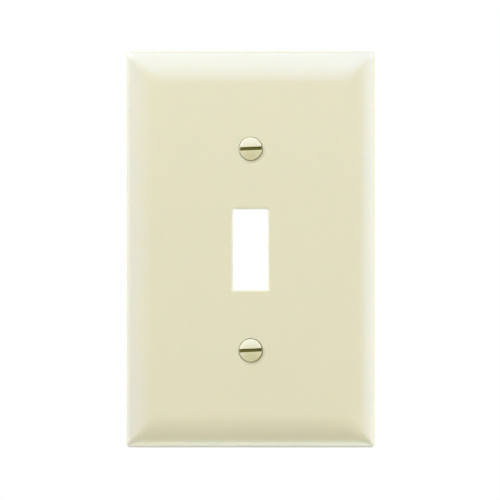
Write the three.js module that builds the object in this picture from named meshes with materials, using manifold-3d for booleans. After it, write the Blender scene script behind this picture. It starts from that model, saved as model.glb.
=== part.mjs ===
// One-gang toggle wall plate: a moulded nylon cover with an opening for a switch lever,
// two oval-head slotted machine screws, and the soft washers that keep the screws in the
// plate before it is mounted.
//
// Millimetres. X is the width, Z the height, and -Y the room side. The origin is the centre
// of the lever opening, on the wall plane y = 0 that the plate's rear rim seats on.

import * as THREE from "three";
import { mergeVertices } from "three/addons/utils/BufferGeometryUtils.js";
import Module from "manifold-3d";

// Plate
const PLATE_WIDTH = 74.6;
const PLATE_HEIGHT = 119.06;
const PLATE_DEPTH = 5.6;
const WALL_THICKNESS = 2;
const CORNER_RADIUS = 1.2;
const FACE_ARC_RADIUS = 17.5; // the wide arc that rolls the face down towards the edge
const EDGE_ARC_RADIUS = 3.6; // the tighter arc that ends in the short side wall
const ARC_MEETING_ANGLE = THREE.MathUtils.degToRad(28); // slope of the face where the arcs meet

// Lever opening and the collar behind it
const OPENING_WIDTH = 10.6;
const OPENING_HEIGHT = 24.1;
const COLLAR_THICKNESS = 1.6;
const COLLAR_REAR = -1.6;

// Ribs behind the face
const RIB_THICKNESS = 1.4;
const RIB_REAR = -2.2;
const LONG_RIB_X = 17;

// Screw holes and the bosses around them
const SCREW_SPACING = 60.325; // 2 3/8 in, the spacing of the holes in a switch's mounting strap
const BOSS_RADIUS = 5.5;
const BOSS_REAR = -1.6;
const HOLE_RADIUS = 2.15;
const COUNTERSINK_CLEARANCE = 0.3;

// Screws, No. 6-32
const THREAD_PITCH = 25.4 / 32;
const THREAD_MAJOR_RADIUS = 3.505 / 2;
const THREAD_MINOR_RADIUS = 1.3;
const THREAD_FLANK_ANGLE = THREE.MathUtils.degToRad(30);
const THREAD_OVERLAP = 0.1; // how far the ridge is sunk into the screw's core
const SCREW_LENGTH = 12.7; // from the widest circle of the head to the tip
const TIP_CHAMFER = 0.5;
const HEAD_RADIUS = 3.4;
const HEAD_DOME_HEIGHT = 1;
const HEAD_EDGE_HEIGHT = 0.15;
const COUNTERSINK_HALF_ANGLE = THREE.MathUtils.degToRad(41);
const HEAD_SINK = 0.05; // how far the head's widest circle lies below the face
const SLOT_WIDTH = 1.02;
const SLOT_DEPTH = 1.5;
const SLOT_TILT = THREE.MathUtils.degToRad(2.7); // right end up, seen from the room

// Retaining washers
const RETAINER_OUTER_RADIUS = 3.6;
const RETAINER_INNER_RADIUS = THREAD_MAJOR_RADIUS + 0.3;
const RETAINER_THICKNESS = 1;
const RETAINER_EDGE = 0.2;
const RETAINER_FRONT = 2.7; // leaves the screw four millimetres of travel before it meets the boss

// Fineness of the round shapes
const ARC_STEPS = 4; // an arc of an outline takes twice this many chords
const ROUND_SIDES = 32;
const THREAD_SIDES = 12; // chords in one turn of the thread
const DOME_STEPS = 5;
const OVERRUN = 1; // how far a cutting shape reaches past the surface that it cuts

const wasm = await Module();
wasm.setup();

/** A solid from a closed geometry: its vertices are merged and its collapsed triangles left out. */
function toSolid(geometry) {
  const bare = geometry.clone();
  bare.deleteAttribute("normal");
  bare.deleteAttribute("uv");
  const merged = mergeVertices(bare, 1e-4);
  const corners = merged.getIndex().array;
  const triangles = [];
  for (let i = 0; i < corners.length; i += 3) {
    const [a, b, c] = corners.slice(i, i + 3);
    if (a !== b && b !== c && c !== a) triangles.push(a, b, c);
  }
  const vertProperties = new Float32Array(merged.getAttribute("position").array);
  const triVerts = new Uint32Array(triangles);
  return new wasm.Manifold(new wasm.Mesh({ numProp: 3, vertProperties, triVerts }));
}

/** A geometry from a solid. */
function toGeometry(solid) {
  const { vertProperties, triVerts } = solid.getMesh();
  const geometry = new THREE.BufferGeometry();
  geometry.setAttribute("position", new THREE.BufferAttribute(new Float32Array(vertProperties), 3));
  geometry.setIndex(new THREE.BufferAttribute(new Uint32Array(triVerts), 1));
  geometry.computeVertexNormals();
  return geometry;
}

/** A turned solid about Y, from points [radius, y] in the order of growing y on the outside. */
function turned(points, sides) {
  const profile = points.map(([radius, y]) => new THREE.Vector2(radius, y));
  return new THREE.LatheGeometry(profile, sides);
}

/** A box from its lowest and highest corners. */
function boxBetween(low, high) {
  const size = high.map((value, axis) => value - low[axis]);
  const middle = high.map((value, axis) => (value + low[axis]) / 2);
  return new THREE.BoxGeometry(...size).translate(...middle);
}

// ---------------------------------------------------------------- plate

/**
 * The plate's cross-section, across its whole span: up the side wall, round the edge arc, up
 * the face arc, over the flat face, and down the same way. An inset moves it inwards evenly.
 */
function crossSection(span, inset, foot) {
  const sine = Math.sin(ARC_MEETING_ANGLE);
  const cosine = Math.cos(ARC_MEETING_ANGLE);
  const arcCentreIn = EDGE_ARC_RADIUS + (FACE_ARC_RADIUS - EDGE_ARC_RADIUS) * sine;
  const edgeCentreUp = PLATE_DEPTH - FACE_ARC_RADIUS * (1 - cosine) - EDGE_ARC_RADIUS * cosine;
  const faceArc = FACE_ARC_RADIUS - inset;
  const edgeArc = EDGE_ARC_RADIUS - inset;
  const faceCentreUp = PLATE_DEPTH - FACE_ARC_RADIUS;
  const half = span / 2;
  const upright = Math.PI / 2;
  const tilt = ARC_MEETING_ANGLE;

  const outline = new THREE.Shape();
  outline.moveTo(inset - half, foot);
  outline.lineTo(half - inset, foot);
  outline.absarc(half - EDGE_ARC_RADIUS, edgeCentreUp, edgeArc, 0, upright - tilt, false);
  outline.absarc(half - arcCentreIn, faceCentreUp, faceArc, upright - tilt, upright, false);
  outline.absarc(arcCentreIn - half, faceCentreUp, faceArc, upright, upright + tilt, false);
  outline.absarc(EDGE_ARC_RADIUS - half, edgeCentreUp, edgeArc, upright + tilt, Math.PI, false);
  return outline;
}

/** The cross-section drawn out along Z, with the face to -Y. */
function crossSectionBar(span, length, inset, foot) {
  const bar = new THREE.ExtrudeGeometry(crossSection(span, inset, foot), {
    depth: length,
    bevelEnabled: false,
    curveSegments: ARC_STEPS,
  });
  return bar.translate(0, 0, -length / 2).rotateZ(Math.PI);
}

/** The form with rolled edges on all four sides: the two bars' edges meet in mitres. */
function rolledForm(inset, foot) {
  const upright = crossSectionBar(PLATE_WIDTH, PLATE_HEIGHT - 2 * inset, inset, foot);
  const level = crossSectionBar(PLATE_HEIGHT, PLATE_WIDTH - 2 * inset, inset, foot);
  return toSolid(upright).intersect(toSolid(level.rotateY(Math.PI / 2)));
}

/** A prism with the plate's rounded outline, from the wall plane to the face. */
function roundedOutline() {
  const right = PLATE_WIDTH / 2;
  const top = PLATE_HEIGHT / 2;
  const inX = right - CORNER_RADIUS;
  const inZ = top - CORNER_RADIUS;
  const quarter = Math.PI / 2;
  const outline = new THREE.Shape();
  outline.moveTo(right, inZ);
  outline.absarc(inX, inZ, CORNER_RADIUS, 0, quarter, false);
  outline.absarc(-inX, inZ, CORNER_RADIUS, quarter, 2 * quarter, false);
  outline.absarc(-inX, -inZ, CORNER_RADIUS, 2 * quarter, 3 * quarter, false);
  outline.absarc(inX, -inZ, CORNER_RADIUS, 3 * quarter, 4 * quarter, false);
  const prism = new THREE.ExtrudeGeometry(outline, {
    depth: PLATE_DEPTH + 2 * OVERRUN,
    bevelEnabled: false,
    curveSegments: ARC_STEPS,
  });
  return prism.rotateX(Math.PI / 2).translate(0, OVERRUN, 0);
}

/** The collar, bosses and ribs that stand on the back of the face, all starting inside it. */
function rearStructure() {
  const root = -PLATE_DEPTH + WALL_THICKNESS / 2;
  const halfRib = RIB_THICKNESS / 2;
  const collarX = OPENING_WIDTH / 2 + COLLAR_THICKNESS;
  const collarZ = OPENING_HEIGHT / 2 + COLLAR_THICKNESS;
  const reachX = PLATE_WIDTH / 2 - WALL_THICKNESS / 2;
  const reachZ = PLATE_HEIGHT / 2 - WALL_THICKNESS / 2;
  const pieces = [boxBetween([-collarX, root, -collarZ], [collarX, COLLAR_REAR, collarZ])];
  for (const side of [-1, 1]) {
    const x = side * LONG_RIB_X;
    const z = (side * SCREW_SPACING) / 2;
    pieces.push(boxBetween([x - halfRib, root, -reachZ], [x + halfRib, RIB_REAR, reachZ]));
    pieces.push(boxBetween([-reachX, root, z - halfRib], [reachX, RIB_REAR, z + halfRib]));
    const boss = turned([
      [0, root],
      [BOSS_RADIUS, root],
      [BOSS_RADIUS, BOSS_REAR],
      [0, BOSS_REAR],
    ], ROUND_SIDES);
    pieces.push(boss.translate(0, 0, z));
  }
  return pieces.map(toSolid).reduce((whole, piece) => whole.add(piece));
}

/** The countersunk hole for one screw, centred on the axis. */
function screwHole() {
  const tangent = Math.tan(COUNTERSINK_HALF_ANGLE);
  const clearance = COUNTERSINK_CLEARANCE / Math.cos(COUNTERSINK_HALF_ANGLE);
  const coneTop = -PLATE_DEPTH + HEAD_SINK + HEAD_EDGE_HEIGHT;
  const rimRadius = HEAD_RADIUS + clearance;
  const throat = coneTop + (rimRadius - HOLE_RADIUS) / tangent;
  return turned([
    [0, -PLATE_DEPTH - OVERRUN],
    [rimRadius, -PLATE_DEPTH - OVERRUN],
    [rimRadius, coneTop],
    [HOLE_RADIUS, throat],
    [HOLE_RADIUS, OVERRUN],
    [0, OVERRUN],
  ], ROUND_SIDES);
}

function wallPlate() {
  const outer = rolledForm(0, 0).intersect(toSolid(roundedOutline()));
  const cavity = rolledForm(WALL_THICKNESS, -OVERRUN);
  const halfX = OPENING_WIDTH / 2;
  const halfZ = OPENING_HEIGHT / 2;
  const front = -PLATE_DEPTH - OVERRUN;
  const opening = boxBetween([-halfX, front, -halfZ], [halfX, OVERRUN, halfZ]);
  let plate = outer.subtract(cavity).add(rearStructure().intersect(outer)).subtract(toSolid(opening));
  for (const side of [-1, 1]) {
    const hole = screwHole().translate(0, 0, (side * SCREW_SPACING) / 2);
    plate = plate.subtract(toSolid(hole));
  }
  return toGeometry(plate);
}

// ---------------------------------------------------------------- screws

/** A helix about Y whose frames keep the section's x radial and its y along the axis. */
class ThreadHelix extends THREE.Curve {
  constructor(radius, start, turns) {
    super();
    this.radius = radius;
    this.start = start;
    this.turns = turns;
  }

  radial(t) {
    const angle = 2 * Math.PI * this.turns * t;
    return new THREE.Vector3(Math.sin(angle), 0, Math.cos(angle));
  }

  getPoint(t, target = new THREE.Vector3()) {
    const y = this.start + THREAD_PITCH * this.turns * t;
    return target.copy(this.radial(t)).multiplyScalar(this.radius).setY(y);
  }

  computeFrenetFrames(steps) {
    const frames = { tangents: [], normals: [], binormals: [] };
    for (let i = 0; i <= steps; i += 1) {
      frames.tangents.push(this.getTangent(i / steps));
      frames.normals.push(this.radial(i / steps));
      frames.binormals.push(new THREE.Vector3(0, -1, 0));
    }
    return frames;
  }
}

/** The head and the core of the thread, turned about Y from the top of the dome to the tip. */
function headAndCore() {
  const domeRadius = (HEAD_RADIUS ** 2 + HEAD_DOME_HEIGHT ** 2) / (2 * HEAD_DOME_HEIGHT);
  const domeHalfAngle = Math.asin(HEAD_RADIUS / domeRadius);
  const points = [];
  for (let i = 0; i <= DOME_STEPS; i += 1) {
    const angle = (domeHalfAngle * i) / DOME_STEPS;
    points.push([domeRadius * Math.sin(angle), domeRadius * (1 - Math.cos(angle)) - HEAD_DOME_HEIGHT]);
  }
  const coneHeight = (HEAD_RADIUS - THREAD_MINOR_RADIUS) / Math.tan(COUNTERSINK_HALF_ANGLE);
  points.push([HEAD_RADIUS, HEAD_EDGE_HEIGHT]);
  points.push([THREAD_MINOR_RADIUS, HEAD_EDGE_HEIGHT + coneHeight]);
  points.push([THREAD_MINOR_RADIUS, SCREW_LENGTH - TIP_CHAMFER / 2]);
  points.push([THREAD_MINOR_RADIUS - TIP_CHAMFER / 2, SCREW_LENGTH]);
  points.push([0, SCREW_LENGTH]);
  return turned(points, 2 * THREAD_SIDES);
}

/** The thread's ridge, from the cone of the head to the chamfer of the tip. */
function threadRidge() {
  const rootRadius = THREAD_MINOR_RADIUS - THREAD_OVERLAP;
  const height = THREAD_MAJOR_RADIUS - rootRadius;
  const halfCrest = THREAD_PITCH / 16; // a flat crest is an eighth of the pitch wide
  const halfRoot = halfCrest + height * Math.tan(THREAD_FLANK_ANGLE);
  const section = new THREE.Shape();
  section.moveTo(0, -halfRoot);
  section.lineTo(height, -halfCrest);
  section.lineTo(height, halfCrest);
  section.lineTo(0, halfRoot);

  const coneHeight = (HEAD_RADIUS - THREAD_MAJOR_RADIUS) / Math.tan(COUNTERSINK_HALF_ANGLE);
  const start = HEAD_EDGE_HEIGHT + coneHeight;
  const turns = Math.ceil((SCREW_LENGTH - start) / THREAD_PITCH) + 1;
  const ridge = new THREE.ExtrudeGeometry(section, {
    steps: turns * THREAD_SIDES,
    extrudePath: new ThreadHelix(rootRadius, start, turns),
    bevelEnabled: false,
  });

  const envelopeRadius = THREAD_MAJOR_RADIUS + THREAD_OVERLAP;
  const envelope = turned([
    [0, 0],
    [envelopeRadius, 0],
    [envelopeRadius, SCREW_LENGTH - TIP_CHAMFER],
    [envelopeRadius - TIP_CHAMFER, SCREW_LENGTH],
    [0, SCREW_LENGTH],
  ], 2 * THREAD_SIDES);
  return toSolid(ridge).intersect(toSolid(envelope));
}

/** The screw about its own axis: y = 0 at the widest circle of the head, the tip at +Y. */
function plateScrew() {
  const slotFloor = SLOT_DEPTH - HEAD_DOME_HEIGHT;
  const halfLength = HEAD_RADIUS + OVERRUN;
  const halfWidth = SLOT_WIDTH / 2;
  const top = -HEAD_DOME_HEIGHT - OVERRUN;
  const slot = boxBetween([-halfLength, top, -halfWidth], [halfLength, slotFloor, halfWidth]);
  slot.rotateY(-SLOT_TILT);
  return toGeometry(toSolid(headAndCore()).add(threadRidge()).subtract(toSolid(slot)));
}

// ---------------------------------------------------------------- retaining washers

/** A soft washer with eased edges, turned about Y, with its front face at y = 0. */
function screwRetainer() {
  const inner = RETAINER_INNER_RADIUS;
  const outer = RETAINER_OUTER_RADIUS;
  const edge = RETAINER_EDGE;
  const back = RETAINER_THICKNESS;
  return turned([
    [inner + edge, 0],
    [outer - edge, 0],
    [outer, edge],
    [outer, back - edge],
    [outer - edge, back],
    [inner + edge, back],
    [inner, back - edge],
    [inner, edge],
    [inner + edge, 0],
  ], ROUND_SIDES);
}

// ---------------------------------------------------------------- assembly

const ivoryNylon = new THREE.MeshStandardMaterial({ color: 0xe5e0c2, roughness: 0.38, metalness: 0 });
const ivoryEnamel = new THREE.MeshStandardMaterial({ color: 0xe2ddba, roughness: 0.3, metalness: 0.1 });
const softWasher = new THREE.MeshStandardMaterial({ color: 0xe9e6dc, roughness: 0.55, metalness: 0 });

function namedMesh(name, geometry, material) {
  const mesh = new THREE.Mesh(geometry, material);
  mesh.name = name;
  return mesh;
}

const assembly = new THREE.Group();
assembly.add(namedMesh("wall_plate", wallPlate(), ivoryNylon));

for (const [place, side] of [["upper", 1], ["lower", -1]]) {
  const fastener = new THREE.Group();
  fastener.position.set(0, 0, (side * SCREW_SPACING) / 2);

  const screw = namedMesh(`${place}_plate_screw`, plateScrew(), ivoryEnamel);
  screw.position.y = HEAD_SINK - PLATE_DEPTH;
  fastener.add(screw);

  const retainer = namedMesh(`${place}_screw_retainer`, screwRetainer(), softWasher);
  retainer.position.y = RETAINER_FRONT;
  fastener.add(retainer);

  assembly.add(fastener);
}

export default assembly;
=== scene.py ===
"""Looks of a one-gang toggle wall plate: an ivory nylon moulding, two enamelled oval-head
screws and the soft washers that keep them in the loose plate.

Metres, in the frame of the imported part: X is the width, Z the height, the room is at -Y and
the wall plane is y = 0. Sizes that the frame doesn't give are named in millimetres below.
"""

import math

import bmesh
import bpy
from mathutils import Matrix, Vector
from mathutils.geometry import delaunay_2d_cdt


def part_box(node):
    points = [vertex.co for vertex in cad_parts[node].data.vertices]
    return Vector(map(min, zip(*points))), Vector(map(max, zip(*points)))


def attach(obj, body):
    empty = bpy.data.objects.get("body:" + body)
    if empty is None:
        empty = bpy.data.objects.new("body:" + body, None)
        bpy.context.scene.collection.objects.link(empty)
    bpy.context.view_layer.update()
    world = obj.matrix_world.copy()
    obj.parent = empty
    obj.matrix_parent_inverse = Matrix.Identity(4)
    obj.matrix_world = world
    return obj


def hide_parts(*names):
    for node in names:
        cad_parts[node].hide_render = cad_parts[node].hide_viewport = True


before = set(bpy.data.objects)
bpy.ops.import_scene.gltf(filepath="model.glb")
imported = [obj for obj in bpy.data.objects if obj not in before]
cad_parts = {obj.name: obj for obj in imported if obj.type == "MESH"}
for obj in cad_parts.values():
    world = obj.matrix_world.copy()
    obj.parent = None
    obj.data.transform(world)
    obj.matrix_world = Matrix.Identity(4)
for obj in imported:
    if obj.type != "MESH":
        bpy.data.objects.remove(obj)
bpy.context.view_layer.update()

MM = 0.001

# ------------------------------------------------------------------ sizes from the frame, mm

plate_low, plate_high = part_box("wall_plate")
screw_low, screw_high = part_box("upper_plate_screw")
washer_low, washer_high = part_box("upper_screw_retainer")

HALF_WIDTH = (plate_high.x - plate_low.x) / 2 / MM
HALF_HEIGHT = (plate_high.z - plate_low.z) / 2 / MM
DEPTH = -plate_low.y / MM
SCREW_Z = (screw_high.z + screw_low.z) / 2 / MM
HEAD_RADIUS = (screw_high.z - screw_low.z) / 2 / MM
SCREW_TIP = screw_high.y / MM
HEAD_TOP = screw_low.y / MM
WASHER_FRONT = washer_low.y / MM
WASHER_BACK = washer_high.y / MM
WASHER_RADIUS = (washer_high.z - washer_low.z) / 2 / MM

# ------------------------------------------------------------------ other sizes, mm

WALL = 2.0
FACE_ARC = 17.5  # the wide arc that rolls the face down towards the edge
EDGE_ARC = 3.6  # the tighter arc that ends in the side wall
ARC_MEETING = math.radians(28)  # slope of the face where the two arcs meet
OUTER_CORNER = 1.2
FACE_CORNER = 2.4
CAVITY_CORNER = 0.8
CAVITY_FLOOR_CORNER = 2.0
RIM_EASE = 0.25

OPENING_HALF_X = 5.3
OPENING_HALF_Z = 12.05
OPENING_CORNER = 0.3
OPENING_EASE = 0.55
COLLAR = 1.6
COLLAR_REAR = -1.6
COLLAR_EASE = 0.15
ROOT_FILLET = 0.4

COUNTERSINK_RADIUS = 3.62
COUNTERSINK_LEAN = (0.07, -0.08)  # how far off the screw's axis the moulded countersink lies
COUNTERSINK_EASE = 0.15
HOLE_RADIUS = 2.15
BOSS_RADIUS = 5.5
BOSS_REAR = -1.6

RIB_HALF = 0.62
RIB_DRAFT = 0.08
RIB_REAR = -2.2
RIB_X = 17.0
RIB_END = 3.2  # how far from the plate's edge a rib has run into the rolled wall
RIB_SUNK = 0.3  # how far a rib's foot lies inside the plate
RIB_IN_BOSS = 0.8  # how far a level rib reaches into a boss

PIN_MARK_RADIUS = 1.75
PIN_MARK_DEPTH = 0.06

PITCH = 25.4 / 32
MAJOR_RADIUS = 3.505 / 2
MINOR_RADIUS = 1.32
THREAD_START = 0.4  # below the head's widest circle, as the next four are
THREAD_TOP = 1.6
CORE_END = 4.5
PAINT_END = 2.3
HEAD_EDGE = 0.15
CORE_SUNK = 0.08  # how far the head's core lies inside the root of the thread
THREAD_MARGIN = 0.02  # how far the thread's outer limit stands clear of its crest
HEAD_HEIGHT = 1.0  # of the crown over the widest circle
HEAD_DOME = 0.78  # of the crown over the top of the rim
HEAD_EASE = 0.28
CONE_ANGLE = math.radians(41)
SLOT_WIDTH = 1.02
SLOT_DEPTH = 1.5
SLOT_EASE = 0.07
SLOT_TILT = math.radians(2.7)
TIP_TAPER = 0.75  # length of the tip's taper
TIP_SLOPE = 0.7  # radius lost in each millimetre of it
TIP_EDGE = (0.05, 0.04)  # width and height of the small chamfer at its end

WASHER_BORE = 1.82
WASHER_LIP = 0.5  # thickness of the lip
WASHER_LIP_REACH = 0.75  # its width, from the bore to the outer ring
WASHER_LIP_EASE = 0.1
WASHER_EASE = 0.16

GUARD = 0.3  # a narrow flat band beside each rounded edge, which keeps the flats flat


# ------------------------------------------------------------------ mesh making


def arc(centre, radius, start, stop, steps):
    """Points on an arc in a section plane, both ends included; angles in degrees."""
    points = []
    for i in range(steps + 1):
        angle = math.radians(start + (stop - start) * i / steps)
        points.append((centre[0] + radius * math.cos(angle), centre[1] + radius * math.sin(angle)))
    return points


def smooth_step(value):
    value = min(max(value, 0.0), 1.0)
    return value * value * (3 - 2 * value)


def rounded_rectangle(half_x, half_z, radius, y, steps):
    """A closed loop at depth y; steps are those of a corner, of a level side and of an upright side."""
    corner_steps, level_steps, upright_steps = steps
    points = []
    for quarter, (side_x, side_z) in enumerate([(1, 1), (-1, 1), (-1, -1), (1, -1)]):
        centre = (side_x * (half_x - radius), side_z * (half_z - radius))
        points += arc(centre, radius, 90 * quarter, 90 * quarter + 90, corner_steps)
        straight = level_steps if quarter % 2 == 0 else upright_steps
        length = 2 * ((half_x if quarter % 2 == 0 else half_z) - radius)
        heading = math.radians(90 * quarter + 180)
        end = points[-1]
        for i in range(1, straight):
            reach = length * i / straight
            points.append((end[0] + reach * math.cos(heading), end[1] + reach * math.sin(heading)))
    return [Vector((x, y, z)) for x, z in points]


def circle(radius, y, steps, centre=(0.0, 0.0)):
    return [Vector((x, y, z)) for x, z in arc(centre, radius, 0, 360 - 360 / steps, steps - 1)]


def is_inside(point, outline):
    """Whether a point of the face plane lies inside a closed outline, by counting crossings."""
    x, z = point
    inside = False
    for (x0, z0), (x1, z1) in zip(outline, outline[1:] + outline[:1]):
        if (z0 > z) != (z1 > z) and x < x0 + (x1 - x0) * (z - z0) / (z1 - z0):
            inside = not inside
    return inside


class Skin:
    """The skin of a solid, from loops of points, the bands between them and flat fills."""

    def __init__(self):
        self.points = []
        self.faces = []

    def loop(self, points):
        start = len(self.points)
        self.points += points
        return list(range(start, len(self.points)))

    def band(self, first, second):
        for i in range(len(first)):
            j = (i + 1) % len(first)
            self.faces.append((first[i], first[j], second[j], second[i]))

    def sleeve(self, loops):
        """Bands through a row of loops; returns the first and the last loop's numbers."""
        rows = [self.loop(points) for points in loops]
        for first, second in zip(rows, rows[1:]):
            self.band(first, second)
        return rows[0], rows[-1]

    def fan(self, row, point):
        centre = self.loop([point])[0]
        for i in range(len(row)):
            self.faces.append((row[i], row[(i + 1) % len(row)], centre))

    def flat(self, outline, holes, spacing):
        """Fills a flat between an outline and its holes, with a grid of points inside it."""
        rings = [outline] + holes
        used = [number for ring in rings for number in ring]
        places = [(self.points[n].x, self.points[n].z) for n in used]
        edges = []
        for ring in rings:
            base = len(edges)
            edges += [(base + i, base + (i + 1) % len(ring)) for i in range(len(ring))]
        outlines = [[(self.points[n].x, self.points[n].z) for n in ring] for ring in rings]
        y = self.points[outline[0]].y
        grid = self.grid_inside(outlines, spacing)
        used += self.loop([Vector((x, y, z)) for x, z in grid])
        result = delaunay_2d_cdt([Vector(p) for p in places + grid], edges, [], 1, 1e-7)
        corners, origins = result[0], result[3]
        for face in result[2]:
            middle = sum((corners[i] for i in face), Vector((0, 0))) / len(face)
            if not any(is_inside(middle, hole) for hole in outlines[1:]):
                self.faces.append(tuple(used[origins[i][0]] for i in face))

    @staticmethod
    def grid_inside(outlines, spacing):
        """Grid points inside the first outline that keep half a spacing from every outline."""
        high_x = max(x for x, _ in outlines[0])
        high_z = max(z for _, z in outlines[0])
        count_x, count_z = int(high_x / spacing), int(high_z / spacing)
        border = [p for outline in outlines for p in outline]
        kept = []
        for i in range(-count_x, count_x + 1):
            for k in range(-count_z, count_z + 1):
                point = (i * spacing, k * spacing)
                clear = all(math.dist(point, p) > spacing / 2 for p in border)
                if clear and is_inside(point, outlines[0]):
                    if not any(is_inside(point, hole) for hole in outlines[1:]):
                        kept.append(point)
        return kept

    def build(self, name):
        """The object: millimetres become metres, and the faces are turned outwards."""
        mesh = bpy.data.meshes.new(name)
        mesh.from_pydata([p * MM for p in self.points], [], self.faces)
        solid = bmesh.new()
        solid.from_mesh(mesh)
        bmesh.ops.remove_doubles(solid, verts=solid.verts, dist=1e-8)
        bmesh.ops.recalc_face_normals(solid, faces=solid.faces)
        solid.to_mesh(mesh)
        solid.free()
        piece = bpy.data.objects.new(name, mesh)
        bpy.context.scene.collection.objects.link(piece)
        return piece


def turned(name, profile, steps):
    """A solid turned about Y from points (radius, y); it starts and ends on the axis, or it closes."""
    skin = Skin()
    on_axis = profile[0][0] == 0
    rows = [skin.loop(circle(radius, y, steps)) for radius, y in profile if radius > 0]
    for first, second in zip(rows, rows[1:]):
        skin.band(first, second)
    if on_axis:
        skin.fan(rows[0], Vector((0, profile[0][1], 0)))
        skin.fan(rows[-1], Vector((0, profile[-1][1], 0)))
    else:
        skin.band(rows[-1], rows[0])
    return skin.build(name)


def combine(piece, tool, operation):
    """Joins, cuts or intersects a piece with a tool, which is used up."""
    change = piece.modifiers.new("combine", "BOOLEAN")
    change.operation = operation
    change.solver = "MANIFOLD"
    change.object = tool
    depsgraph = bpy.context.evaluated_depsgraph_get()
    result = bpy.data.meshes.new_from_object(piece.evaluated_get(depsgraph))
    piece.modifiers.clear()
    old = piece.data
    piece.data = result
    bpy.data.meshes.remove(old)
    bpy.data.objects.remove(tool)


def shade(piece, sharp_degrees):
    """Smooth shading with crisp edges above an angle, and normals weighted by face area."""
    piece.data.shade_smooth()
    piece.data.set_sharp_from_angle(angle=math.radians(sharp_degrees))
    weighted = piece.modifiers.new("weighted_normals", "WEIGHTED_NORMAL")
    weighted.keep_sharp = True
    weighted.weight = 50


# ------------------------------------------------------------------ wall plate

PERIMETER_STEPS = (14, 16, 26)
OPENING_STEPS = (6, 5, 12)
ROUND_STEPS = 96
FLAT_SPACING = 3.4

sine, cosine = math.sin(ARC_MEETING), math.cos(ARC_MEETING)
FACE_ARC_IN = EDGE_ARC + (FACE_ARC - EDGE_ARC) * sine
FACE_ARC_UP = DEPTH - FACE_ARC
EDGE_ARC_UP = DEPTH - FACE_ARC * (1 - cosine) - EDGE_ARC * cosine
BACK_Y = -(DEPTH - WALL)


def perimeter_loop(inset, height, corner):
    return rounded_rectangle(HALF_WIDTH - inset, HALF_HEIGHT - inset, corner, -height, PERIMETER_STEPS)


def rolled_section(shrink, foot):
    """The rolled edge as (inset, height), from the flat down to the foot of the side wall."""
    meeting = 90 - math.degrees(ARC_MEETING)
    upper = arc((-FACE_ARC_IN, FACE_ARC_UP), FACE_ARC - shrink, 90, meeting, 22)
    lower = arc((-EDGE_ARC, EDGE_ARC_UP), EDGE_ARC - shrink, meeting, 0, 16)
    section = [(-x, up) for x, up in upper + lower[1:]]
    section.append((section[-1][0], foot))
    return section


def perimeter_loops():
    """From the flat of the face, over the rolled edge and the rim, to the flat of the back."""
    def blend(low, high, share):
        return low + (high - low) * smooth_step(share)

    loops = [perimeter_loop(FACE_ARC_IN + GUARD, DEPTH, FACE_CORNER)]
    for inset, height in rolled_section(0, RIM_EASE):
        corner = blend(OUTER_CORNER, FACE_CORNER, inset / FACE_ARC_IN)
        loops.append(perimeter_loop(inset, height, corner))
    for x, up in arc((-RIM_EASE, RIM_EASE), RIM_EASE, 0, -90, 5)[1:]:
        loops.append(perimeter_loop(-x, up, OUTER_CORNER))
    loops.append(perimeter_loop(RIM_EASE + GUARD, 0, OUTER_CORNER))
    loops.append(perimeter_loop(WALL - RIM_EASE - GUARD, 0, CAVITY_CORNER))
    for x, up in arc((-(WALL - RIM_EASE), RIM_EASE), RIM_EASE, -90, -180, 5):
        loops.append(perimeter_loop(-x, up, CAVITY_CORNER))
    inner = rolled_section(WALL, RIM_EASE)[:-1]
    for inset, height in reversed(inner):
        corner = blend(CAVITY_CORNER, CAVITY_FLOOR_CORNER, (inset - WALL) / (FACE_ARC_IN - WALL))
        loops.append(perimeter_loop(inset, height, corner))
    loops.append(perimeter_loop(FACE_ARC_IN + GUARD, DEPTH - WALL, CAVITY_FLOOR_CORNER))
    return loops


def opening_section():
    """From the face, through the throat, over the collar's rear to the back, as (outwards, y)."""
    ease, rear, root = OPENING_EASE, COLLAR_EASE, ROOT_FILLET
    section = [(ease + GUARD, -DEPTH)]
    section += arc((ease, ease - DEPTH), ease, -90, -180, 6)
    section += arc((rear, COLLAR_REAR - rear), rear, 180, 90, 4)
    section += arc((COLLAR - rear, COLLAR_REAR - rear), rear, 90, 0, 4)
    section += arc((COLLAR + root, BACK_Y + root), root, 180, 270, 6)
    section.append((COLLAR + root + GUARD, BACK_Y))
    return section


def opening_loops():
    loops = []
    for outwards, y in opening_section():
        half_x, half_z = OPENING_HALF_X + outwards, OPENING_HALF_Z + outwards
        loops.append(rounded_rectangle(half_x, half_z, OPENING_CORNER + outwards, y, OPENING_STEPS))
    return loops


def screw_hole_section():
    """From the face, down the countersink and the hole, over the boss to the back, as (radius, y)."""
    slope = 90 - math.degrees(CONE_ANGLE)
    centre = COUNTERSINK_RADIUS + COUNTERSINK_EASE * math.tan(math.radians(slope / 2))
    ease, rear, root = COUNTERSINK_EASE, COLLAR_EASE, ROOT_FILLET
    section = [(centre + GUARD, -DEPTH)]
    section += arc((centre, ease - DEPTH), ease, -90, -90 - slope, 5)
    start_radius, start_y = section[-1]
    section.append((HOLE_RADIUS, start_y + (start_radius - HOLE_RADIUS) / math.tan(CONE_ANGLE)))
    section += arc((HOLE_RADIUS + rear, BOSS_REAR - rear), rear, 180, 90, 4)
    section += arc((BOSS_RADIUS - rear, BOSS_REAR - rear), rear, 90, 0, 4)
    section += arc((BOSS_RADIUS + root, BACK_Y + root), root, 180, 270, 6)
    section.append((BOSS_RADIUS + root + GUARD, BACK_Y))
    return section


def screw_hole_loops(z):
    """The hole's loops: those of the countersink lie off the screw's axis, the others on it."""
    loops = []
    for radius, y in screw_hole_section():
        outwards = (radius - HOLE_RADIUS) / (COUNTERSINK_RADIUS - HOLE_RADIUS)
        lean = smooth_step(outwards) if y < BACK_Y else 0
        centre = (lean * COUNTERSINK_LEAN[0], z + lean * COUNTERSINK_LEAN[1])
        loops.append(circle(radius, y, ROUND_STEPS, centre))
    return loops


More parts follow.
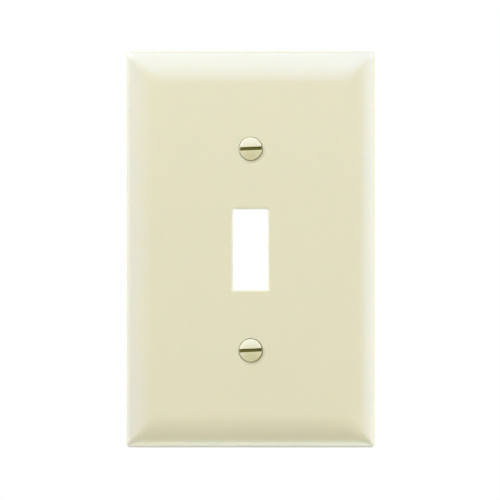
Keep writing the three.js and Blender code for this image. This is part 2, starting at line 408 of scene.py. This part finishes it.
def pin_mark(skin, centre):
    """A shallow round mark of an ejector pin in the back; returns its outer loop."""
    radius, deep = PIN_MARK_RADIUS, PIN_MARK_DEPTH
    section = [(radius + GUARD / 2, 0), (radius, 0), (radius - deep, deep), (radius - GUARD, deep)]
    outer, inner = skin.sleeve([circle(r, BACK_Y - depth, 32, centre) for r, depth in section])
    skin.fan(inner, Vector((centre[0], BACK_Y - deep, centre[1])))
    return outer


def rib(start, end, along_x):
    """A straight rib with drafted sides, eased rear edges and flared roots, between two ends."""
    root = RIB_HALF + RIB_DRAFT
    ease = COLLAR_EASE
    half = arc((root + ROOT_FILLET, BACK_Y + ROOT_FILLET), ROOT_FILLET, 265, 180, 5)
    half += arc((RIB_HALF - ease, RIB_REAR - ease), ease, 0, 90, 4)
    foot = (half[0][0], BACK_Y - RIB_SUNK)
    section = [foot] + half + [(-across, y) for across, y in reversed(half)] + [(-foot[0], foot[1])]
    skin = Skin()
    rows = []
    for along in (start[0], end[0]) if along_x else (start[1], end[1]):
        if along_x:
            rows.append(skin.loop([Vector((along, y, start[1] + across)) for across, y in section]))
        else:
            rows.append(skin.loop([Vector((start[0] + across, y, along)) for across, y in section]))
    skin.band(*rows)
    skin.faces += [tuple(rows[0]), tuple(rows[1])]
    return skin.build("rib")


def wall_plate():
    skin = Skin()
    face_edge, back_edge = skin.sleeve(perimeter_loops())
    opening_front, opening_back = skin.sleeve(opening_loops())
    face_holes, back_holes = [opening_front], [opening_back]
    for side in (1, -1):
        hole_front, hole_back = skin.sleeve(screw_hole_loops(side * SCREW_Z))
        face_holes.append(hole_front)
        back_holes.append(hole_back)
    mark_x = (RIB_X + HALF_WIDTH - FACE_ARC_IN) / 2
    mark_z = (SCREW_Z + HALF_HEIGHT - FACE_ARC_IN) / 2 + BOSS_RADIUS / 2
    for x in (-mark_x, mark_x):
        for z in (-mark_z, 0, mark_z):
            back_holes.append(pin_mark(skin, (x, z)))
    for z in (-mark_z, mark_z):
        back_holes.append(pin_mark(skin, (0, z)))
    skin.flat(face_edge, face_holes, FLAT_SPACING)
    skin.flat(back_edge, back_holes, FLAT_SPACING)
    plate = skin.build("nylon_wall_plate")

    reach_x, reach_z = HALF_WIDTH - RIB_END, HALF_HEIGHT - RIB_END
    into_boss = BOSS_RADIUS - RIB_IN_BOSS
    for side in (1, -1):
        combine(plate, rib((side * RIB_X, -reach_z), (side * RIB_X, reach_z), False), "UNION")
    for z in (SCREW_Z, -SCREW_Z):
        for side in (1, -1):
            combine(plate, rib((side * into_boss, z), (side * reach_x, z), True), "UNION")
    shade(plate, 40)
    return plate


# ------------------------------------------------------------------ screws

HEAD_STEPS = 128
THREAD_STEPS = 64
THREAD_ROWS = 16  # rows of points in one pitch
DOME_STEPS = 24
SLOT_STEPS = 20  # from the middle of the slot to either end
FLANK_SLOPE = math.tan(math.radians(60))  # of the thread's flank, against the axis
DOME_RADIUS = (HEAD_RADIUS**2 + HEAD_DOME**2) / (2 * HEAD_DOME)


def dome_y(distance):
    """Height of the dome over the widest circle of the head, at a distance from the axis."""
    return DOME_RADIUS - HEAD_HEIGHT - math.sqrt(DOME_RADIUS**2 - min(distance, HEAD_RADIUS) ** 2)


def head_profile():
    """The dome, its eased edge, the cone and a core that ends inside the thread, as (radius, y)."""
    ease = HEAD_EASE
    half_angle = math.asin((HEAD_RADIUS - ease) / (DOME_RADIUS - ease))
    centre_y = DOME_RADIUS - HEAD_HEIGHT
    profile = [(0, -HEAD_HEIGHT)]
    for i in range(1, DOME_STEPS + 1):
        angle = half_angle * i / DOME_STEPS
        profile.append((DOME_RADIUS * math.sin(angle), centre_y - DOME_RADIUS * math.cos(angle)))
    rounding = centre_y - (DOME_RADIUS - ease) * math.cos(half_angle)
    start = -90 + math.degrees(half_angle)
    profile += arc((HEAD_RADIUS - ease, rounding), ease, start, 0, 4)[1:]
    profile += arc((HEAD_RADIUS - ease, HEAD_EDGE), ease, 0, 90 - math.degrees(CONE_ANGLE), 3)
    cone_radius, cone_y = profile[-1]
    core = MINOR_RADIUS - CORE_SUNK
    profile.append((core, cone_y + (cone_radius - core) / math.tan(CONE_ANGLE)))
    profile.append((core, CORE_END))
    profile.append((0, CORE_END))
    return profile


def slot_cutter():
    """The slot's space: a flat floor with eased corners, and shoulders that follow the dome."""
    half = SLOT_WIDTH / 2
    floor = SLOT_DEPTH - HEAD_HEIGHT
    ease = SLOT_EASE
    skin = Skin()
    rows = []
    reach = HEAD_RADIUS + 1
    for i in range(2 * SLOT_STEPS + 1):
        x = reach * (i / SLOT_STEPS - 1)
        surface = dome_y(math.hypot(x, half))
        shoulder = arc((half + ease, surface + ease), ease, 180, 245, 5)
        end = shoulder[-1]
        beyond = (end[0] + 2, end[1] - 2 * math.tan(math.radians(25)))
        side = arc((half - ease, floor - ease), ease, 90, 0, 4) + shoulder + [beyond]
        section = side + [(-across, y) for across, y in reversed(side)]
        rows.append(skin.loop([Vector((x, y, across)) for across, y in section]))
    for first, second in zip(rows, rows[1:]):
        skin.band(first, second)
    skin.faces += [tuple(rows[0]), tuple(rows[-1])]
    return skin.build("slot")


def thread_radius(phase):
    """The thread's radius at a share of the pitch: the crest is at one half, the root at 0 and 1."""
    from_crest = abs(phase - 0.5) * PITCH
    half_crest = PITCH / 16
    flank = MAJOR_RADIUS - max(from_crest - half_crest, 0) * FLANK_SLOPE
    return max(flank, MINOR_RADIUS)


def threaded_rod(start, turns):
    """A right-hand thread as a tube whose rows climb along the helix, closed by two fans."""
    skin = Skin()
    rows = turns * THREAD_ROWS
    grid = []
    for i in range(THREAD_STEPS):
        angle = 2 * math.pi * i / THREAD_STEPS
        column = []
        for k in range(rows + THREAD_ROWS + 1):
            radius = thread_radius(k % THREAD_ROWS / THREAD_ROWS)
            y = start + PITCH * (k / THREAD_ROWS + i / THREAD_STEPS)
            column.append(Vector((radius * math.sin(angle), y, radius * math.cos(angle))))
        grid.append(skin.loop(column if i == 0 else column[: rows + 1]))
    for i in range(THREAD_STEPS):
        here = grid[i]
        there = grid[i + 1] if i + 1 < THREAD_STEPS else grid[0][THREAD_ROWS:]
        for k in range(rows):
            skin.faces.append((here[k], there[k], there[k + 1], here[k + 1]))
    lower = [column[0] for column in grid] + [grid[0][k] for k in range(THREAD_ROWS, 0, -1)]
    upper = [grid[0][rows + k] for k in range(1, THREAD_ROWS + 1)]
    upper += [column[rows] for column in reversed(grid)]
    skin.fan(lower, Vector((0, start + PITCH / 2, 0)))
    skin.fan(upper, Vector((0, start + PITCH * (turns + 0.5), 0)))
    return skin.build("thread")


def plate_screw(name, z):
    """An oval-head slotted screw: y = 0 of its own frame is the widest circle of the head."""
    length = SCREW_TIP - HEAD_TOP - HEAD_HEIGHT
    screw = turned(name, head_profile(), HEAD_STEPS)
    combine(screw, slot_cutter(), "DIFFERENCE")
    thread = threaded_rod(THREAD_START, math.ceil(length / PITCH) + 1)
    outside = MAJOR_RADIUS + THREAD_MARGIN
    tip = outside - TIP_TAPER * TIP_SLOPE
    limits = [(0, THREAD_TOP), (outside, THREAD_TOP), (outside, length - TIP_TAPER)]
    limits += [(tip, length - TIP_EDGE[1]), (tip - TIP_EDGE[0], length), (0, length)]
    combine(thread, turned("thread_limits", limits, THREAD_STEPS), "INTERSECT")
    combine(screw, thread, "UNION")
    shade(screw, 34)
    place = Vector((0, (HEAD_TOP + HEAD_HEIGHT) * MM, z * MM))
    screw.matrix_world = Matrix.Translation(place) @ Matrix.Rotation(-SLOT_TILT, 4, "Y")
    return screw


# ------------------------------------------------------------------ retaining washers


def retaining_washer(name, z):
    """A soft moulded washer: a full outer ring and a thinner lip that grips the thread."""
    ease = WASHER_EASE
    thick = WASHER_BACK - WASHER_FRONT
    lip_low, lip_high = (thick - WASHER_LIP) / 2, (thick + WASHER_LIP) / 2
    lip_out = WASHER_BORE + WASHER_LIP_REACH
    round_lip = WASHER_LIP_EASE
    profile = arc((WASHER_RADIUS - ease, ease), ease, -90, 0, 6)
    profile += arc((WASHER_RADIUS - ease, thick - ease), ease, 0, 90, 6)
    profile += arc((lip_out + ease, thick - ease), ease, 90, 150, 4)
    profile += arc((lip_out - round_lip, lip_high + round_lip), round_lip, -30, -90, 3)
    profile += arc((WASHER_BORE + round_lip, lip_high - round_lip), round_lip, 90, 180, 4)
    profile += arc((WASHER_BORE + round_lip, lip_low + round_lip), round_lip, 180, 270, 4)
    profile += arc((lip_out - round_lip, lip_low - round_lip), round_lip, 90, 30, 3)
    profile += arc((lip_out + ease, ease), ease, 210, 270, 4)
    washer = turned(name, profile, ROUND_STEPS)
    shade(washer, 50)
    washer.location = Vector((0, WASHER_FRONT, z)) * MM
    return washer


# ------------------------------------------------------------------ materials


class Nodes:
    """The node tree of a material or world, with short calls for the nodes used here."""

    def __init__(self, owner):
        self.owner = owner
        owner.use_nodes = True
        self.tree = owner.node_tree
        self.tree.nodes.clear()

    def add(self, kind, inputs, **settings):
        node = self.tree.nodes.new(kind)
        for name, value in settings.items():
            setattr(node, name, value)
        for socket, value in inputs.items():
            if isinstance(value, bpy.types.NodeSocket):
                self.tree.links.new(value, node.inputs[socket])
            else:
                node.inputs[socket].default_value = value
        return node

    def place(self):
        return self.add("ShaderNodeTexCoord", {}).outputs["Object"]

    def noise(self, scale, detail=2.0, roughness=0.5, place=None):
        inputs = {"Vector": place or self.place(), "Scale": scale}
        inputs |= {"Detail": detail, "Roughness": roughness}
        return self.add("ShaderNodeTexNoise", inputs).outputs["Fac"]

    def spread(self, value, low, high, from_low=0.0, from_high=1.0):
        """Goes smoothly from low to high while the value goes from from_low to from_high."""
        inputs = {"Value": value, "To Min": low, "To Max": high}
        inputs |= {"From Min": from_low, "From Max": from_high}
        node = self.add("ShaderNodeMapRange", inputs, interpolation_type="SMOOTHSTEP")
        return node.outputs["Result"]

    def math(self, operation, first, second=0.0):
        return self.add("ShaderNodeMath", {0: first, 1: second}, operation=operation).outputs[0]

    def mix(self, share, first, second):
        """A colour between two, each of which is an (r, g, b) or another node's output."""
        node = self.add("ShaderNodeMix", {"Factor": share}, data_type="RGBA")
        colours = [socket for socket in node.inputs if socket.type == "RGBA"]
        for socket, colour in zip(colours, (first, second)):
            if isinstance(colour, bpy.types.NodeSocket):
                self.tree.links.new(colour, socket)
            else:
                socket.default_value = (*colour, 1.0)
        return next(socket for socket in node.outputs if socket.type == "RGBA")

    def bump(self, height, distance, strength=1.0, normal=None):
        inputs = {"Height": height, "Distance": distance, "Strength": strength}
        if normal is not None:
            inputs["Normal"] = normal
        return self.add("ShaderNodeBump", inputs).outputs["Normal"]

    def finish(self, inputs):
        shader = self.add("ShaderNodeBsdfPrincipled", inputs)
        self.add("ShaderNodeOutputMaterial", {"Surface": shader.outputs["BSDF"]})
        return self.owner


def painted_countersink_shade(nodes):
    """How dark the painted shade in the gap round each head is, which is most at its lower right, and
    how strong a painted soft shadow is over the face there. It is nothing elsewhere and behind the
    plate."""
    parts = nodes.add("ShaderNodeSeparateXYZ", {"Vector": nodes.place()})
    hole_z = nodes.math("MULTIPLY", nodes.math("SIGN", parts.outputs["Z"]), SCREW_Z * MM)
    across = nodes.math("SUBTRACT", parts.outputs["X"], COUNTERSINK_LEAN[0] * MM)
    from_hole = nodes.math("SUBTRACT", parts.outputs["Z"], hole_z)
    up = nodes.math("SUBTRACT", from_hole, COUNTERSINK_LEAN[1] * MM)
    squares = [nodes.math("POWER", distance, 2.0) for distance in (across, up)]
    radius = nodes.math("SQRT", nodes.math("ADD", *squares))
    edge = (COUNTERSINK_RADIUS + COUNTERSINK_EASE / 2) * MM
    blur, fade = 0.06 * MM, 1.0 * MM
    ragged = nodes.math("ADD", radius, nodes.spread(nodes.noise(1200, 3.0), -blur, blur))
    near = nodes.spread(ragged, 1, 0, edge - blur, edge + blur)
    rightwards = nodes.math("MULTIPLY", across, 0.7)
    low_side = nodes.math("DIVIDE", nodes.math("SUBTRACT", rightwards, up), radius)
    least = nodes.spread(parts.outputs["Z"], 0.95, 0.35, -0.01, 0.01)
    most = nodes.spread(low_side, 0.0, 1.0, -1.0, 1.0)
    # painted shade in the gap between each head and its countersink, darkest at the lower right and all
    # round the lower screw
    painted_gap_shade = nodes.math("MULTIPLY", near, nodes.math("MAXIMUM", least, most))
    # a painted soft shadow that fades out over the face below and right of each head
    fading = nodes.spread(ragged, 0.42, 0, edge, edge + fade)
    painted_shadow = nodes.math("MULTIPLY", fading, nodes.spread(low_side, 0, 1, 0.2, 1.2))
    at_front = nodes.spread(parts.outputs["Y"], 1, 0, -3.3 * MM, -2.8 * MM)
    return nodes.math("MULTIPLY", at_front, nodes.math("MAXIMUM", painted_gap_shade, painted_shadow))


def ivory_nylon():
    """Smooth moulded nylon: even ivory with faint flow shading, fine orange peel and soft gloss, with
    painted shade and a painted shadow round the screw heads.
    """
    nodes = Nodes(bpy.data.materials.new("ivory_nylon"))
    flow = nodes.spread(nodes.noise(18, 3.0), 0, 1, 0.35, 0.65)
    fine = nodes.noise(1400, 3.0, 0.6)
    colour = nodes.mix(flow, (0.785, 0.753, 0.528), (0.793, 0.761, 0.538))
    mottled = nodes.mix(nodes.spread(fine, 0, 0.35, 0.3, 0.7), colour, (0.774, 0.741, 0.512))
    # the dark olive of the painted shade and painted shadow round the screw heads
    shaded = nodes.mix(painted_countersink_shade(nodes), mottled, (0.33, 0.31, 0.13))
    peel = nodes.bump(nodes.noise(520, 2.0), 0.000012)
    grain = nodes.bump(fine, 0.000004, 1.0, peel)
    rough = nodes.spread(nodes.noise(60, 4.0, 0.6), 0.20, 0.26, 0.3, 0.7)
    return nodes.finish({
        "Base Color": shaded,
        "Roughness": rough,
        "Normal": grain,
        "IOR": 1.5,
        "Specular IOR Level": 1.0,
        "Specular Tint": (0.16, 0.32, 1.0, 1.0),
        "Subsurface Weight": 0.25,
        "Subsurface Radius": (0.0018, 0.0013, 0.0006),
        "Subsurface Scale": 1.0,
    })


def ivory_enamel():
    """Baked enamel on a screw's head, with faint blotches and orange peel; painted shade makes it dark
    down in the slot.
    """
    nodes = Nodes(bpy.data.materials.new("ivory_enamel"))
    place = nodes.place()
    parts = nodes.add("ShaderNodeSeparateXYZ", {"Vector": place})
    across = nodes.math("ABSOLUTE", parts.outputs["Z"])
    in_slot = nodes.spread(across, 1, 0, (SLOT_WIDTH / 2 - 0.01) * MM, (SLOT_WIDTH / 2 + 0.03) * MM)
    below = nodes.spread(parts.outputs["Y"], 0, 1, -0.6 * MM, -0.1 * MM)
    # painted shade: the slot's inside below the dome is darkened
    painted_slot_shade = nodes.math("MULTIPLY", in_slot, below)
    blotches = nodes.noise(900, 3.0, 0.6, place)
    slot_mottle = nodes.noise(3000, 3.0, 0.6, place)
    enamel = nodes.mix(blotches, (0.695, 0.665, 0.385), (0.720, 0.690, 0.415))
    # the dark olive of the painted shade in the slot, mottled at random
    painted_slot_colour = nodes.mix(slot_mottle, (0.125, 0.120, 0.001), (0.165, 0.158, 0.003))
    polish = nodes.spread(nodes.noise(1500, 3.0, 0.6, place), 0.24, 0.36, 0.3, 0.7)
    return nodes.finish({
        "Base Color": nodes.mix(painted_slot_shade, enamel, painted_slot_colour),
        "Roughness": nodes.math("ADD", polish, nodes.math("MULTIPLY", painted_slot_shade, 0.45)),
        "Normal": nodes.bump(nodes.noise(1300, 2.0, 0.5, place), 0.000012),
        "IOR": 1.6,
        "Specular IOR Level": 1.0,
        "Specular Tint": (0.60, 0.44, 1.0, 1.0),
    })


def zinc_plate():
    """Dull zinc plating on a screw's thread, unevenly bright, with a little texture."""
    nodes = Nodes(bpy.data.materials.new("zinc_plate"))
    place = nodes.place()
    patches = nodes.noise(1800, 4.0, 0.65, place)
    return nodes.finish({
        "Base Color": nodes.mix(patches, (0.26, 0.24, 0.215), (0.365, 0.34, 0.305)),
        "Metallic": 1.0,
        "Roughness": nodes.spread(patches, 0.26, 0.40, 0.3, 0.7),
        "Normal": nodes.bump(nodes.noise(4000, 2.0, 0.5, place), 0.000003),
    })


def soft_washer():
    """Natural polyethylene: milky, slightly waxy, with a faint turned texture."""
    nodes = Nodes(bpy.data.materials.new("soft_washer"))
    fine = nodes.noise(1600, 3.0, 0.6)
    colour = nodes.mix(nodes.spread(fine, 0, 1, 0.3, 0.7), (0.800, 0.775, 0.690), (0.850, 0.830, 0.755))
    return nodes.finish({
        "Base Color": colour,
        "Roughness": nodes.spread(nodes.noise(400, 3.0), 0.42, 0.55, 0.3, 0.7),
        "Normal": nodes.bump(fine, 0.000006),
        "IOR": 1.5,
        "Subsurface Weight": 0.6,
        "Subsurface Radius": (0.0014, 0.0013, 0.0011),
        "Subsurface Scale": 1.0,
    })


# ------------------------------------------------------------------ pieces


def fit(piece, finishes, body, node):
    """Gives a piece its finishes and its node's place; a second finish is for a bare thread."""
    piece.data.materials.clear()
    for finish in finishes:
        piece.data.materials.append(finish)
    if len(finishes) > 1:
        for face in piece.data.polygons:
            face.material_index = int(face.center.y > PAINT_END * MM)
    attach(piece, body)
    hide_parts(node)


screw_finishes = [ivory_enamel(), zinc_plate()]
washer_finishes = [soft_washer()]
fit(wall_plate(), [ivory_nylon()], "plate", "wall_plate")
for level, z in (("upper", SCREW_Z), ("lower", -SCREW_Z)):
    screw = plate_screw(f"{level}_oval_head_screw", z)
    fit(screw, screw_finishes, f"{level}_screw", f"{level}_plate_screw")
    washer = retaining_washer(f"{level}_retaining_washer", z)
    fit(washer, washer_finishes, f"{level}_retainer", f"{level}_screw_retainer")

# ------------------------------------------------------------------ floor, light and camera

FLOOR_DROP = 0.25
FLOOR_RADIUS = 1.3


def pale_floor():
    """Matt white, which thins out towards the rim of the disc so that no edge shows."""
    nodes = Nodes(bpy.data.materials.new("pale_floor"))
    place = nodes.place()
    colour = nodes.mix(nodes.noise(40, 3.0, 0.5, place), (0.86, 0.86, 0.86), (0.89, 0.89, 0.89))
    distance = nodes.add("ShaderNodeVectorMath", {0: place}, operation="LENGTH").outputs["Value"]
    cover = nodes.spread(distance, 1, 0, FLOOR_RADIUS * 0.45, FLOOR_RADIUS)
    return nodes.finish(
        {"Base Color": colour, "Roughness": 0.7, "Alpha": cover, "Specular IOR Level": 0.0})


def floor():
    skin = Skin()
    skin.fan(skin.loop(circle(FLOOR_RADIUS / MM, 0, 96)), Vector((0, 0, 0)))
    disc = skin.build("floor")
    disc.matrix_world = Matrix.Translation((0, 0, -FLOOR_DROP)) @ Matrix.Rotation(math.pi / 2, 4, "X")
    disc.data.materials.append(pale_floor())
    disc.visible_diffuse = disc.visible_glossy = False  # the world lights the part from below


def softbox(name, place, size, power):
    """A soft light aimed at the plate; the world carries what the gloss reflects."""
    light = bpy.data.lights.new(name, "AREA")
    light.shape = "RECTANGLE"
    light.size, light.size_y = size
    light.energy = power
    lamp = bpy.data.objects.new(name, light)
    lamp.location = place
    lamp.rotation_mode = "QUATERNION"
    lamp.rotation_quaternion = (-Vector(place)).to_track_quat("-Z", "Y")
    lamp.visible_glossy = False
    bpy.context.scene.collection.objects.link(lamp)


def studio_world():
    """White for the camera. As light it is a dim room in front of the part and a white set
    behind it; the gloss sees soft boxes overhead, at both sides, low in front and behind."""
    world = bpy.data.worlds.new("studio")
    nodes = Nodes(world)
    direction = nodes.add("ShaderNodeTexCoord", {}).outputs["Generated"]
    parts = nodes.add("ShaderNodeSeparateXYZ", {"Vector": direction})
    x, y, z = (parts.outputs[axis] for axis in "XYZ")
    rays = nodes.add("ShaderNodeLightPath", {})

    def card(colour, strength):
        inputs = {"Color": (*colour, 1), "Strength": strength}
        return nodes.add("ShaderNodeBackground", inputs).outputs["Background"]

    def together(first, second):
        return nodes.add("ShaderNodeAddShader", {0: first, 1: second}).outputs["Shader"]

    def choose(share, first, second):
        return nodes.add("ShaderNodeMixShader", {0: share, 1: first, 2: second}).outputs["Shader"]

    in_front = nodes.spread(y, 1, 0, 0.1, 0.6)
    white_set = nodes.spread(y, 0.18, 0.6, -0.3, 0.15)
    room = card((1, 1, 1), white_set)
    overhead = nodes.math("MULTIPLY", nodes.spread(z, 0, 4.3, -0.15, 0.72), in_front)
    at_right = nodes.math("ADD", nodes.spread(x, 0, 0.7, 0.3, 0.8), nodes.spread(x, 0, 4.0, 0.72, 0.79))
    right = nodes.math("MULTIPLY", at_right, in_front)
    left = nodes.math("MULTIPLY", nodes.spread(x, 2.8, 0, -0.9, -0.2), in_front)
    below = nodes.math("MULTIPLY", nodes.spread(z, 9.9, 0, -0.92, -0.79), in_front)
    brighter_low = nodes.spread(z, 1.9, 1.35, -0.8, -0.2)
    behind = nodes.math("MULTIPLY", nodes.spread(y, 0, 1, -0.05, 0.3), brighter_low)
    gloss = card((1, 0.98, 0.84), behind)
    gloss = together(gloss, card((0.54, 0.76, 1), overhead))
    gloss = together(gloss, card((1, 0.90, 0.68), right))
    gloss = together(gloss, card((1, 0.94, 0.84), left))
    gloss = together(gloss, card((1, 0.87, 0.42), below))
    lit = choose(rays.outputs["Is Glossy Ray"], room, gloss)
    seen = choose(rays.outputs["Is Camera Ray"], lit, card((1, 1, 1), 1.0))
    nodes.add("ShaderNodeOutputWorld", {"Surface": seen})
    bpy.context.scene.world = world


CAMERA_DISTANCE = 1.0
VIEW_WIDTH = 0.14955  # width of the view at the face of the plate
CAMERA_OFFSET = -0.00016  # the plate stands this far right of and above the view's middle


def camera():
    data = bpy.data.cameras.new("camera")
    data.lens = data.sensor_width * CAMERA_DISTANCE / VIEW_WIDTH
    data.clip_start, data.clip_end = 0.01, 20
    view = bpy.data.objects.new("camera", data)
    view.location = (CAMERA_OFFSET, plate_low.y - CAMERA_DISTANCE, CAMERA_OFFSET)
    view.rotation_euler = (math.pi / 2, 0, 0)
    bpy.context.scene.collection.objects.link(view)
    bpy.context.scene.camera = view


floor()
studio_world()
softbox("left", (-1.0, -0.78, 0.45), (0.6, 0.6), 13.6)
softbox("right", (1.08, -0.75, 0.10), (0.7, 0.9), 14.2)
softbox("overhead", (-0.26, -0.22, 0.72), (0.3, 0.2), 0.95)
softbox("rear", (-0.7, 0.9, 0.6), (0.5, 0.5), 6.0)
camera()
bpy.context.scene.view_settings.view_transform = "Standard"
